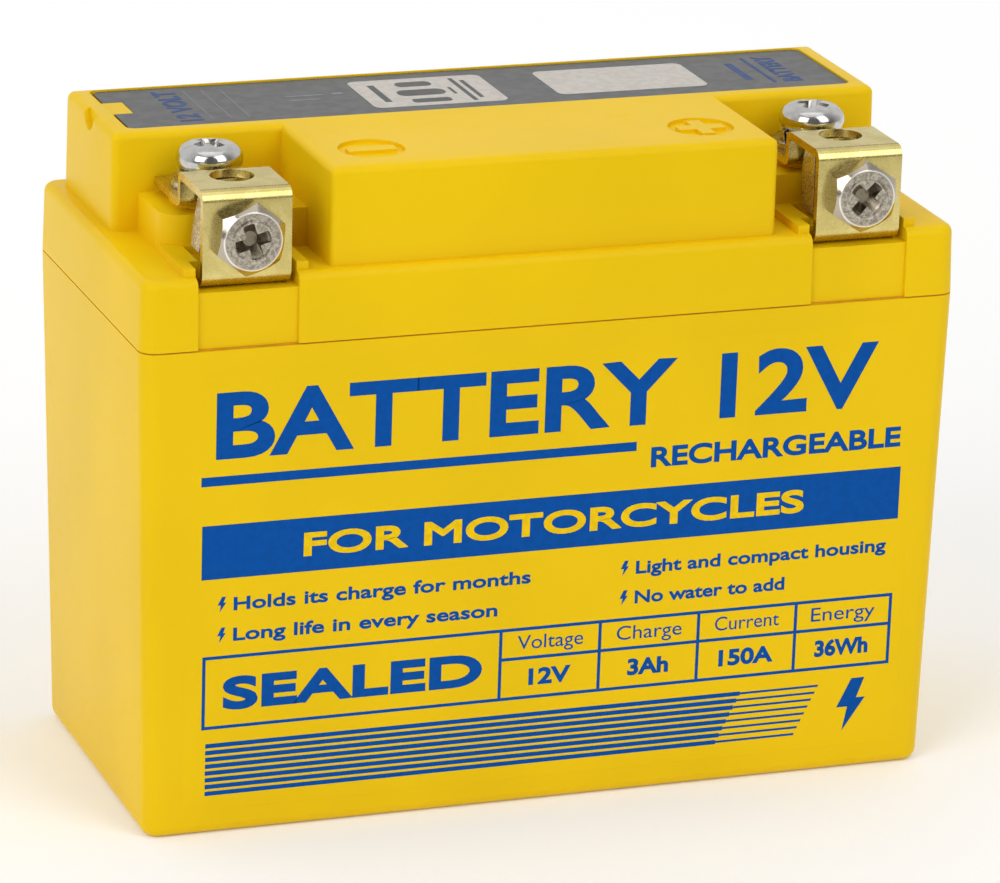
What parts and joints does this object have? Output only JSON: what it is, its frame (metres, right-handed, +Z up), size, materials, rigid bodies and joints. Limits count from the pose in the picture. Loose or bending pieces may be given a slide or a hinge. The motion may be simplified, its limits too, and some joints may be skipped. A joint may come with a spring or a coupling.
{
  "type": "motorcycle battery",
  "caption": "Small sealed 12 V lithium starter battery for a motorcycle, with bolted brass terminal brackets on a stepped lid.",
  "frame": {"origin": "centre of the flat base", "axes": "+X along the length towards the positive terminal, +Y towards the raised strip at the back, +Z up"},
  "size_m": [0.107, 0.0504, 0.0852],
  "materials": {
    "housing_plastic": "satin moulded",
    "seam_bead": "weld bead",
    "grey_label": "printed film",
    "front_film": "printed film",
    "bracket_brass": "yellow passivated, brushed",
    "bolt_steel": "zinc plated",
    "screw_chrome": "bright plated",
    "washer_steel": "zinc plated",
    "post_brass": "turned",
    "tinned_copper": "tinned",
    "lead_black": "silicone",
    "lead_red": "silicone",
    "cell_can": "satin",
    "cell_sleeve": "shrunk film",
    "holder_plastic": "moulded",
    "nickel_strip": "rolled",
    "insulator_sheet": "aramid paper",
    "foam": "closed cell foam",
    "board_laminate": "solder mask",
    "chip_black": "moulded",
    "resistor_black": "glazed",
    "connector_ivory": "moulded",
    "wire_jacket": "pvc",
    "board_screw_steel": "zinc plated"
  },
  "bodies": {
    "root": {"case": "housing_plastic", "lid": "housing_plastic", "seam_bead": "seam_bead", "top_cover": "housing_plastic", "top_label": "grey_label", "front_label": "front_film", "neg_bracket": "bracket_brass", "neg_fixing_screw": "screw_chrome", "neg_spring_washer": "washer_steel", "neg_flat_washer": "washer_steel", "neg_post": "post_brass", "neg_lug": "tinned_copper", "neg_lead": "lead_black", "pos_bracket": "bracket_brass", "pos_fixing_screw": "screw_chrome", "pos_spring_washer": "washer_steel", "pos_flat_washer": "washer_steel", "pos_post": "post_brass", "pos_lug": "tinned_copper", "pos_lead": "lead_red", "cell_1": "cell_can", "cell_2": "cell_can", "cell_3": "cell_can", "cell_4": "cell_can", "cell_5": "cell_can", "cell_6": "cell_can", "cell_7": "cell_can", "cell_8": "cell_can", "cell_sleeve_1": "cell_sleeve", "cell_sleeve_2": "cell_sleeve", "cell_sleeve_3": "cell_sleeve", "cell_sleeve_4": "cell_sleeve", "cell_sleeve_5": "cell_sleeve", "cell_sleeve_6": "cell_sleeve", "cell_sleeve_7": "cell_sleeve", "cell_sleeve_8": "cell_sleeve", "lower_cell_holder": "holder_plastic", "upper_cell_holder": "holder_plastic", "link_negative": "nickel_strip", "link_middle": "nickel_strip", "link_positive": "nickel_strip", "link_lower_left": "nickel_strip", "link_lower_right": "nickel_strip", "top_insulator": "insulator_sheet", "base_foam": "foam", "end_foam_left": "foam", "end_foam_right": "foam", "balance_board": "board_laminate", "board_chips": "chip_black", "board_resistors": "resistor_black", "board_header": "connector_ivory", "balance_plug": "connector_ivory", "balance_wires": "wire_jacket", "board_screws": "board_screw_steel"},
    "neg_bolt": {"neg_bolt": "bolt_steel"},
    "neg_nut": {"neg_square_nut": "bolt_steel"},
    "pos_bolt": {"pos_bolt": "bolt_steel"},
    "pos_nut": {"pos_square_nut": "bolt_steel"}
  },
  "joints": [
    {"name": "neg_bolt_turn", "type": "hinge", "parent": "root", "child": "neg_bolt", "pos_m": [-0.04005, -0.0233, 0.0776], "axis": [0, 1, 0], "range_deg": [0, 1845]},
    {"name": "neg_nut_travel", "type": "slide", "parent": "root", "child": "neg_nut", "axis": [0, -1, 0], "range_m": [0, 0.0041]},
    {"name": "pos_bolt_turn", "type": "hinge", "parent": "root", "child": "pos_bolt", "pos_m": [0.04005, -0.0233, 0.0776], "axis": [0, 1, 0], "range_deg": [0, 1845]},
    {"name": "pos_nut_travel", "type": "slide", "parent": "root", "child": "pos_nut", "axis": [0, -1, 0], "range_m": [0, 0.0041]}
  ],
  "couplings": [
    {"joint": "neg_bolt_turn", "follows": "neg_nut_travel", "rad_per_m": 7854},
    {"joint": "pos_bolt_turn", "follows": "pos_nut_travel", "rad_per_m": 7854}
  ]
}
